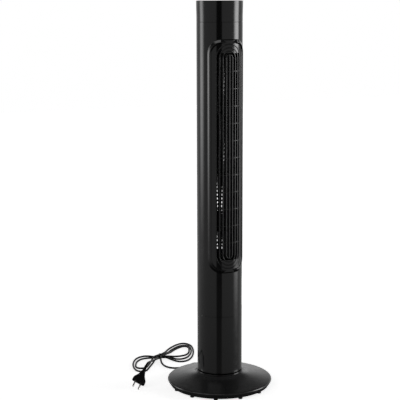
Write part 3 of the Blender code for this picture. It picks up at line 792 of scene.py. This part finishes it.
def make_plug():
    """A moulded two-pin plug: ribbed sleeve, a body that widens to a flat face, and two round pins."""
    shape = bmesh.new()
    rings = []
    places = []
    for start, end in zip(PLUG_STATIONS, PLUG_STATIONS[1:]):
        count = max(1, round((end[0] - start[0]) / 0.0010))
        for step in range(count):
            t = step / count
            places.append([a + (b - a) * t for a, b in zip(start, end)])
    places.append(list(PLUG_STATIONS[-1]))
    for along, half_width, half_height, power in places:
        if 0.0020 < along < PLUG_SLEEVE_END:
            groove = 0.5 + 0.5 * math.cos(math.tau * along / PLUG_GROOVE_PITCH)
            half_width -= PLUG_GROOVE_DEPTH * groove**3
            half_height -= PLUG_GROOVE_DEPTH * groove**3
        ring = []
        for step in range(48):
            angle = math.tau * step / 48
            c, s = math.cos(angle), math.sin(angle)
            across = half_width * math.copysign(abs(c) ** (2 / power), c)
            up = half_height * math.copysign(abs(s) ** (2 / power), s)
            ring.append(shape.verts.new((along, across, up)))
        rings.append(ring)
    join_rings(shape, zip(rings, rings[1:]))
    shape.faces.new(rings[0])
    shape.faces.new(rings[-1])
    lay = Matrix.Translation(PLUG_START) @ Euler((PLUG_ROLL, PLUG_DIP, PLUG_HEADING)).to_matrix().to_4x4()
    bmesh.ops.transform(shape, matrix=lay, verts=shape.verts)
    plug = add("plug_moulding", shape, "black_rubber", "base", "plug_body")
    pins = bmesh.new()
    for side in (-1, 1):
        pin = turned(PIN_OUTLINE, 28)
        bmesh.ops.rotate(pin, cent=(0, 0, 0), matrix=Matrix.Rotation(math.pi / 2, 3, "Y"), verts=pin.verts)
        bmesh.ops.translate(pin, vec=(0, side * PIN_SPACING / 2, 0), verts=pin.verts)
        merge_into(pins, pin)
    bmesh.ops.transform(pins, matrix=lay, verts=pins.verts)
    return plug, add("plug_pins", pins, "plated_pin", "base", "plug_pin_left", "plug_pin_right")


# The base.

NECK_BORE = 0.0560
FOOT_CIRCLE = 0.1455
# The dome's upper side, (radius, height), from the neck to the lower edge of the rim.
DOME = [
    (0.0704, BASE_NECK_TOP),
    (0.0730, 0.0455),
    (0.0780, 0.0415),
    (0.0860, 0.0378),
    (0.1000, 0.0342),
    (0.1300, 0.0290),
    (0.1530, 0.0254),
    (0.1588, 0.0243),
    (0.1610, 0.0216),
    (0.1603, 0.0180),
    (0.1530, 0.0062),
]
# Its underside, from the rim back to the neck.
DOME_UNDERSIDE = [
    (0.1500, 0.0062),
    (0.1573, 0.0195),
    (0.1530, 0.0225),
    (0.1000, 0.0315),
    (0.0850, 0.0350),
    (0.0755, 0.0398),
    (0.0705, 0.0451),
    (NECK_BORE, 0.0451),
]
FOOT_OUTLINE = [
    (0, 0.0056),
    (0.0058, 0.0056),
    (0.0063, 0.0050),
    (0.0065, 0.0018),
    (0.0060, 0.0004),
    (0.0050, 0),
    (0.0030, 0),
    (0.0022, 0.0006),
    (0, 0.0007),
]


def make_base():
    """The dome with its hole for the lead, the ring the tower turns above, and the feet."""
    curve = smooth_route([Vector((*point, 0)) for point in DOME], 0.0015)
    outline = [(NECK_BORE, BASE_NECK_TOP)] + [(place.x, place.y) for place in curve] + DOME_UNDERSIDE
    dome = turned(outline, 192)
    cover = add("base_dome", dome, "gloss_black", "base", "base_cover", look=BASE_GLOSS, sharp=CUT_SHARP)
    hole = turned([(0, 0.02), (0.0058, 0.02), (0.0058, -0.02), (0, -0.02)], 32)
    bmesh.ops.rotate(hole, cent=(0, 0, 0), matrix=Matrix.Rotation(-math.pi / 2, 3, "X"), verts=hole.verts)
    bmesh.ops.translate(hole, vec=(0, 0.158, CORD_EXIT[2]), verts=hole.verts)
    cut_away(cover, hole)
    collar = softened(
        [
            (0.0570, 0.0519, 0.0003),
            (0.0703, 0.0519, 0.0009),
            (0.0703, 0.0482, 0.0004),
            (0.0570, 0.0482, 0.0003),
        ]
    )
    add("turning_collar", turned(collar, 192), "gloss_black", "base", "swivel_collar", sharp=50)
    feet = bmesh.new()
    for number in range(FOOT_COUNT):
        angle = math.tau * number / FOOT_COUNT
        foot = turned(FOOT_OUTLINE, 28)
        place = (FOOT_CIRCLE * math.sin(angle), -FOOT_CIRCLE * math.cos(angle), 0)
        bmesh.ops.translate(foot, vec=place, verts=foot.verts)
        merge_into(feet, foot)
    add("rubber_feet", feet, "black_rubber", "base", *FEET, look=FOOT, sharp=60)


# The tower's shells.

SCOOP_LOW = 0.2560
SCOOP_HIGH = 0.3520
SCOOP_MIDDLE = math.radians(70) * TOWER_RADIUS
SCOOP_HALF = math.asin(0.0150 / TOWER_RADIUS) * TOWER_RADIUS
QUARTER = math.pi / 2 * TOWER_RADIUS
SHELL_TOP = BAND_BOTTOM - GAP
LOW_END = [COLUMN_TOP, COLUMN_TOP + 0.0005]
HIGH_END = [SHELL_TOP - 0.0005, SHELL_TOP]


def corner_drop(arc, half_width, corner):
    """How far a round-cornered outline has come down from its top at this arc."""
    past = abs(arc) - (half_width - corner)
    if past <= 0:
        return 0.0
    return corner - math.sqrt(max(0.0, corner**2 - min(past, corner) ** 2))


def corner_columns(half_width, corner, steps=14):
    """Columns that follow a round corner closely, from the middle outwards."""
    straight = spread_out(0, half_width - corner, 8)
    bend = [corner * math.sin(math.pi / 2 * step / steps) for step in range(1, steps + 1)]
    return straight + [half_width - corner + along for along in bend]


def both_sides(columns):
    """The columns and their mirror images, in order."""
    return sorted({round(value, 7) for column in columns for value in (column, -column)})


def plain_radius(radius):
    """The same radius everywhere."""
    return lambda arc, height: radius


def shell_radius(arc, height):
    """The outside of the shell, which is 0.4 mm smaller at its two ends."""
    at_end = height < COLUMN_TOP + 0.0001 or height > SHELL_TOP - 0.0001
    return TOWER_RADIUS - (0.0004 if at_end else 0)


def make_shells():
    """The column below the fan, the two halves of the shell and the band round the top."""
    column = softened(
        [
            (BORE - 0.0001, COLUMN_TOP - GAP),
            (TOWER_RADIUS, COLUMN_TOP - GAP, 0.0005),
            (TOWER_RADIUS, COLUMN_BOTTOM, 0.0010),
            (BORE, COLUMN_BOTTOM),
            (BORE, COLUMN_TOP - 0.0070),
            (BORE - 0.0018, COLUMN_TOP - 0.0050),
            (BORE - 0.0018, COLUMN_TOP + 0.0050),
            (BORE - 0.0001, COLUMN_TOP + 0.0050),
        ],
        3,
    )
    add("column_tube", turned(column, 192), "gloss_black", "tower", "lower_column")
    make_front()
    make_rear()
    band = softened(
        [
            (BORE, HEIGHT - 0.0012, 0.0004),
            (0.0668, HEIGHT, 0.0006),
            (0.0694, HEIGHT, 0.0016),
            (0.0691, 1.1600, 0.0060),
            (TOWER_RADIUS, 1.1380, 0.0060),
            (TOWER_RADIUS, BAND_BOTTOM, 0.0004),
            (BORE - 0.0001, BAND_BOTTOM),
            (BORE - 0.0001, BAND_BOTTOM - 0.0050),
            (BORE - 0.0018, BAND_BOTTOM - 0.0050),
            (BORE - 0.0018, BAND_BOTTOM + 0.0050),
            (BORE, BAND_BOTTOM + 0.0070),
        ],
        5,
    )
    add("top_band", turned(band, 192), "gloss_black", "tower", "display_band")


def make_front():
    """The front half of the shell, with the outlet's opening and the scoop's window."""
    columns = both_sides(corner_columns(OPENING_HALF_WIDTH, OPENING_CORNER))
    columns += spread_out(OPENING_HALF_WIDTH, SCOOP_MIDDLE - SCOOP_HALF, 1)[1:]
    columns += spread_out(SCOOP_MIDDLE - SCOOP_HALF, SCOOP_MIDDLE + SCOOP_HALF, 12)[1:]
    columns += spread_out(SCOOP_MIDDLE + SCOOP_HALF, QUARTER - GAP / 2, 3)[1:]
    columns += [-value for value in spread_out(OPENING_HALF_WIDTH, QUARTER - GAP / 2, 16)[1:]]
    columns = sorted({round(value, 7) for value in columns})

    def rows(arc):
        reach = OPENING_HALF_HEIGHT - corner_drop(arc, OPENING_HALF_WIDTH, OPENING_CORNER)
        low, high = OPENING_CENTRE - reach, OPENING_CENTRE + reach
        return [*LOW_END, SCOOP_LOW, SCOOP_HIGH, low, high, *HIGH_END]

    def keep(arc, row):
        in_opening = abs(arc) < OPENING_HALF_WIDTH and row == 4
        in_scoop = abs(arc - SCOOP_MIDDLE) < SCOOP_HALF and row == 2
        return not in_opening and not in_scoop

    shape = curved_sheet(columns, rows, keep, shell_radius, plain_radius(BORE))
    add("front_shell", shape, "gloss_black", "tower", "front_housing")

    slope_columns = spread_out(SCOOP_MIDDLE - SCOOP_HALF + 0.0003, SCOOP_MIDDLE + SCOOP_HALF - 0.0003, 12)
    heights = spread_out(SCOOP_LOW + GAP, SCOOP_HIGH - GAP, 10)

    def sloped(arc, height):
        return TOWER_RADIUS - 0.0024 * (1 - (height - SCOOP_LOW) / (SCOOP_HIGH - SCOOP_LOW))

    inside = plain_radius(0.0636)
    scoop = curved_sheet(slope_columns, lambda arc: heights, lambda arc, row: True, sloped, inside)
    add("scoop_insert", scoop, "gloss_black", "tower", "side_insert")


def make_rear():
    """The rear half of the shell, with its two stacks of round-ended intake slots."""
    slot_start = math.asin(SPINE_HALF_WIDTH / TOWER_RADIUS) * TOWER_RADIUS
    slot_end = math.asin(INTAKE_EDGE / TOWER_RADIUS) * TOWER_RADIUS
    half = INTAKE_HEIGHT / 2
    end_steps = [half * (1 - math.cos(math.pi / 2 * step / 5)) for step in range(6)]
    columns = [slot_start + step for step in end_steps] + spread_out(slot_start + half, slot_end - half, 16)
    columns += [slot_end - step for step in end_steps]
    columns += spread_out(slot_end, QUARTER - GAP / 2, 14) + [0.0]
    columns = both_sides(columns)
    first = SLOT_LOW + 0.0100

    def rows(arc):
        place = min(max(abs(arc), slot_start), slot_end)
        inset = half - min(place - slot_start, slot_end - place, half)
        opening = max(0.0006, math.sqrt(max(0.0, half**2 - inset**2)))
        heights = [*LOW_END]
        for number in range(INTAKE_COUNT):
            middle = first + number * INTAKE_PITCH
            heights += [middle - opening, middle + opening]
        return heights + HIGH_END

    def keep(arc, row):
        in_stack = slot_start < abs(arc) < slot_end
        return not (in_stack and 2 <= row < 2 + 2 * INTAKE_COUNT and row % 2 == 0)

    shape = curved_sheet(columns, rows, keep, shell_radius, plain_radius(BORE), math.pi)
    add("rear_shell", shape, "gloss_black", "tower", "rear_housing")


# The outlet grille.

PLATE_RADIUS = 0.0681
PLATE_INSIDE = 0.0645
ARCH_HALF_HEIGHT = SLOT_HIGH - ARCH_CENTRE_INSET - OPENING_CENTRE
ARCHES = (1, 2, 3, 4)
RIB_COUNT = 11
RIB_TOP = 0.9757
RIB_PITCH = 0.0512
RIB_OUTSIDE = 0.0682
RIB_INSIDE = 0.0612
RIB_EDGE = math.radians(36) * TOWER_RADIUS
RAIL_INSET = math.radians(2) * TOWER_RADIUS
# One half of a rib's section, (height, radius). The other half mirrors it.
RIB_HALF_SECTION = [
    (0.0014, RIB_INSIDE),
    (0.0014, RIB_OUTSIDE - 0.0012),
    (0.0012, RIB_OUTSIDE - 0.0005),
    (0.0006, RIB_OUTSIDE),
]


def make_grille():
    """A plate with a raised rim round it and one window, which nested arched bars fill."""
    grille = grille_plate()
    rim = [
        (0.0034, 0.0662),
        (0.0034, 0.0685),
        (0.0031, 0.0688),
        (0.0023, 0.0692),
        (-0.0036, RIM_CREST - 0.0005),
        (-0.0046, RIM_CREST - 0.0001),
        (-0.0055, RIM_CREST),
        (-0.0064, RIM_CREST - 0.0003),
        (-0.0072, RIM_CREST - 0.0010),
        (-0.0080, 0.0692),
        (-0.0088, 0.0683),
        (-0.0098, PLATE_RADIUS),
        (-0.0098, 0.0662),
    ]
    half_width, half_height = OPENING_HALF_WIDTH - 0.0035, OPENING_HALF_HEIGHT - 0.0035
    path = racetrack(half_width, half_height, OPENING_CORNER - 0.0035, OPENING_CENTRE, 18)
    swept(grille, path, rim, True)
    bar = bar_section(BAR_WIDTH, 0.0694)
    for number in ARCHES:
        half = number * BAR_PITCH
        swept(grille, racetrack(half, ARCH_HALF_HEIGHT + half, half, OPENING_CENTRE, 12), bar, True)
    reach = ARCH_HALF_HEIGHT + BAR_PITCH
    swept(grille, [(0, OPENING_CENTRE - reach), (0, OPENING_CENTRE + reach)], bar, False)
    add("outlet_grille", grille, "gloss_black", "tower", "front_grille", sharp=40)
    make_ribs()


def bar_section(width, crest):
    """A bar's section: straight sides and a rounded outer face."""
    half = width / 2
    outline = [(half, PLATE_INSIDE)]
    for step in range(9):
        angle = math.pi * step / 8
        outline.append((half * math.cos(angle), crest - 0.0011 * (1 - math.sin(angle))))
    return outline + [(-half, PLATE_INSIDE)]


def grille_plate():
    """The smooth plate inside the rim, open where the slots are."""
    half_width, corner = OPENING_HALF_WIDTH - 0.0030, OPENING_CORNER - 0.0030
    half_height = OPENING_HALF_HEIGHT - 0.0030
    edge = ARCHES[-1] * BAR_PITCH
    columns = both_sides(corner_columns(half_width, corner, 18) + [edge])

    def rows(arc):
        reach = half_height - corner_drop(arc, half_width, corner)
        return [OPENING_CENTRE - reach, SLOT_LOW, SLOT_HIGH, OPENING_CENTRE + reach]

    def keep(arc, row):
        return not (abs(arc) < edge and row == 1)

    return curved_sheet(columns, rows, keep, plain_radius(PLATE_RADIUS), plain_radius(PLATE_INSIDE))


def make_ribs():
    """Thin level ribs that run into the backs of the bars, and the rail that joins them at each side."""
    shape = bmesh.new()
    rib = RIB_HALF_SECTION + [(-up, radius) for up, radius in reversed(RIB_HALF_SECTION)]
    for number in range(RIB_COUNT):
        middle = RIB_TOP - RIB_PITCH * number
        swept(shape, [(arc, middle) for arc in spread_out(-RIB_EDGE, RIB_EDGE, 28)], rib, False)
    half, low, high = 0.0015, RIB_INSIDE + 0.0001, RIB_OUTSIDE - 0.0001
    rail = [(half, low), (half, high), (-half, high), (-half, low)]
    for side in (-1, 1):
        place = side * (RIB_EDGE - RAIL_INSET)
        swept(shape, [(place, SLOT_LOW), (place, SLOT_HIGH)], rail, False)
    add("outlet_ribs", shape, "satin_black", "tower", "grille_guard", look=GLOSS)


# The impeller.

DRUM_RADIUS = 0.0430
BLADE_CIRCLE = 0.0360
BLADE_CHORD = 0.0132
BLADE_CAMBER = 0.0013
BLADE_LEAN = math.radians(50)
# How far a blade twists round the drum over its section, and how far each section is turned, in degrees.
BLADE_SKEW = math.radians(10)
SECTION_TURNS = (19, 20, 10, 8)


def blade_outline():
    """A thin cambered blade section, in metres along and across its chord."""
    upper, lower = [], []
    for step in range(9):
        t = step / 8
        along = (t - 0.5) * BLADE_CHORD
        camber = BLADE_CAMBER * (1 - (2 * t - 1) ** 2)
        half = 0.00045 + 0.0002 * math.sin(math.pi * t)
        upper.append((along, camber + half))
        lower.append((along, camber - half))
    return upper + lower[::-1]


def make_impeller():
    """The drum: sections of blades, each on its own disc, and the disc and stub that close the top."""
    outline = blade_outline()
    lean = Matrix.Rotation(BLADE_LEAN, 2)
    for number in range(SECTIONS):
        low = IMPELLER_LOW + number * SECTION_PITCH
        high = low + SECTION_PITCH - 0.0013
        above, below = low + 0.0010, low - 0.0010
        disc = [(0, above), (DRUM_RADIUS, above, 0.0004), (DRUM_RADIUS, below, 0.0004), (0, below)]
        shape = turned(softened(disc, 3), 96)
        for blade in range(BLADES):
            start = math.tau * blade / BLADES + math.radians(SECTION_TURNS[number])
            rings = []
            for step in range(9):
                share = step / 8
                height = low + 0.0009 + (high - low - 0.0009) * share
                place = start + BLADE_SKEW * (share - 0.5)
                turn = Matrix.Rotation(place, 3, "Z")
                ring = []
                for along, across in outline:
                    point = lean @ Vector((across, along))
                    ring.append(shape.verts.new(turn @ Vector((point.x, point.y - BLADE_CIRCLE, height))))
                rings.append(ring)
            join_rings(shape, zip(rings, rings[1:]))
            shape.faces.new(rings[0])
            shape.faces.new(rings[-1])
        add(f"drum_section_{number + 1}", shape, "drum_grey", "impeller", f"impeller_{number + 1}")
    top = IMPELLER_LOW + SECTIONS * SECTION_PITCH
    end = softened(
        [
            (0, 1.0500),
            (0.0040, 1.0500, 0.0005),
            (0.0040, top + 0.0030, 0.0015),
            (0.0100, top + 0.0010, 0.0015),
            (DRUM_RADIUS, top + 0.0010, 0.0004),
            (DRUM_RADIUS, top - 0.0010, 0.0004),
            (0, top - 0.0010),
        ],
        3,
    )
    add("drum_end", turned(end, 96), "drum_grey", "impeller", "impeller_end")


# The control panel.

BUTTON_PITCH = 0.0220
BUTTON_ROW_Y = -0.0150
BUTTON_HALF = (0.0080, 0.0055)
LENS_Y = 0.0150
LENS_HALF = (0.0250, 0.0070)
DECK_BOTTOM = DECK_TOP - 0.0030
PAD_STEPS = 6
KEYS = ("power", "speed", "timer", "swing")
KEY_PLACES = {name: (number - 1.5) * BUTTON_PITCH for number, name in enumerate(KEYS)}


def pad(half_x, half_y, corner, profile, centre):
    """A round-cornered pad: each profile entry is (inset, height), from the bottom up."""
    shape = bmesh.new()
    rings = []
    for inset, height in profile:
        outline = round_rectangle(half_x, half_y, corner, PAD_STEPS, inset)
        rings.append([shape.verts.new((centre[0] + x, centre[1] + y, height)) for x, y in outline])
    join_rings(shape, zip(rings, rings[1:]))
    shape.faces.new(rings[0])
    shape.faces.new(rings[-1])
    return shape


def make_panel():
    """The sunken deck on top, its display window and its four buttons."""
    low = DECK_BOTTOM
    deck = softened([(0, DECK_TOP), (0.0656, DECK_TOP, 0.0006), (0.0656, low), (0, low)], 4)
    deck = add("control_deck", turned(deck, 160), "gloss_black", "tower", "top_deck", sharp=30)
    hole = [(0, low - 0.01), (0, DECK_TOP + 0.01)]
    for x in KEY_PLACES.values():
        cut_away(deck, pad(BUTTON_HALF[0] + GAP, BUTTON_HALF[1] + GAP, 0.0028, hole, (x, BUTTON_ROW_Y)))
    cut_away(deck, pad(LENS_HALF[0] + GAP, LENS_HALF[1] + GAP, 0.0023, hole, (0, LENS_Y)))
    window_profile = [(0, low), (0, DECK_TOP - 0.0002), (0.0003, DECK_TOP)]
    window_shape = pad(*LENS_HALF, 0.0020, window_profile, (0, LENS_Y))
    add("display_window", window_shape, "smoked_lens", "tower", "display_lens")
    for name, x in KEY_PLACES.items():
        make_button(name, x)


def make_button(name, x):
    """One key: a soft-edged cap with a shallow dish, above its flange and stem."""
    low = DECK_BOTTOM
    top = DECK_TOP + 0.0025
    profile = [
        (0, low - 0.0008),
        (0, top - 0.0010),
        (0.0001, top - 0.0005),
        (0.0004, top - 0.0002),
        (0.0009, top),
        (0.0014, top - 0.0001),
        (0.0022, top - 0.0003),
    ]
    shape = pad(*BUTTON_HALF, 0.0025, profile, (x, BUTTON_ROW_Y))
    flange = [(0, low - 0.0030), (0, low - 0.0006)]
    skirt = pad(BUTTON_HALF[0] + 0.0014, BUTTON_HALF[1] + 0.0014, 0.0025, flange, (x, BUTTON_ROW_Y))
    merge_into(shape, skirt)
    stem = turned([(0, low - 0.0012), (0.0020, low - 0.0012), (0.0020, 1.1642), (0, 1.1642)], 20)
    bmesh.ops.translate(stem, vec=(x, BUTTON_ROW_Y, 0), verts=stem.verts)
    merge_into(shape, stem)
    add(f"key_cap_{name}", shape, "button_grey", f"key_{name}", f"button_{name}", sharp=40)


# The CAD model's own pieces.

NODE_SLOTS = {
    "gloss_black": (
        "base_cover",
        "swivel_collar",
        "lower_column",
        "front_housing",
        "rear_housing",
        "side_insert",
        "front_grille",
        "display_band",
        "top_deck",
    ),
    "zinc_steel": (
        "post_retainer",
        "swing_fork",
        "motor_mount",
        "motor_body",
        "swing_motor",
        "swing_crank",
        "motor_shaft",
    ),
    "weight_iron": ("base_weight",),
    "white_nylon": ("thrust_washer", "top_bearing"),
    "capacitor_grey": ("capacitor",),
    "board_green": ("control_board",),
    "drum_grey": ("impeller_1", "impeller_2", "impeller_3", "impeller_4", "impeller_end"),
    "black_rubber": (
        "cord_strain_relief",
        "cord_lead",
        "cord_hank_left",
        "cord_hank_right",
        "cord_tie",
        "cord_tail",
        "plug_body",
        *FEET,
    ),
    "plated_pin": ("plug_pin_left", "plug_pin_right"),
    "smoked_lens": ("display_lens",),
    "button_grey": tuple(f"button_{name}" for name in KEYS),
}


def node_slot(name):
    """The slot of a CAD node. One that is in no list is satin black."""
    for slot, names in NODE_SLOTS.items():
        if name in names:
            return slot
    return "satin_black"


def dress_frame():
    """Gives every CAD node that stays in view its slot's finish."""
    for name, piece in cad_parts.items():
        piece.data.materials.clear()
        piece.data.materials.append(SLOT_FINISH[node_slot(name)])
        piece.data.shade_smooth()


make_camera()
make_light()
make_floor()
dress_frame()
make_cord()
make_base()
make_shells()
make_grille()
make_impeller()
make_panel()
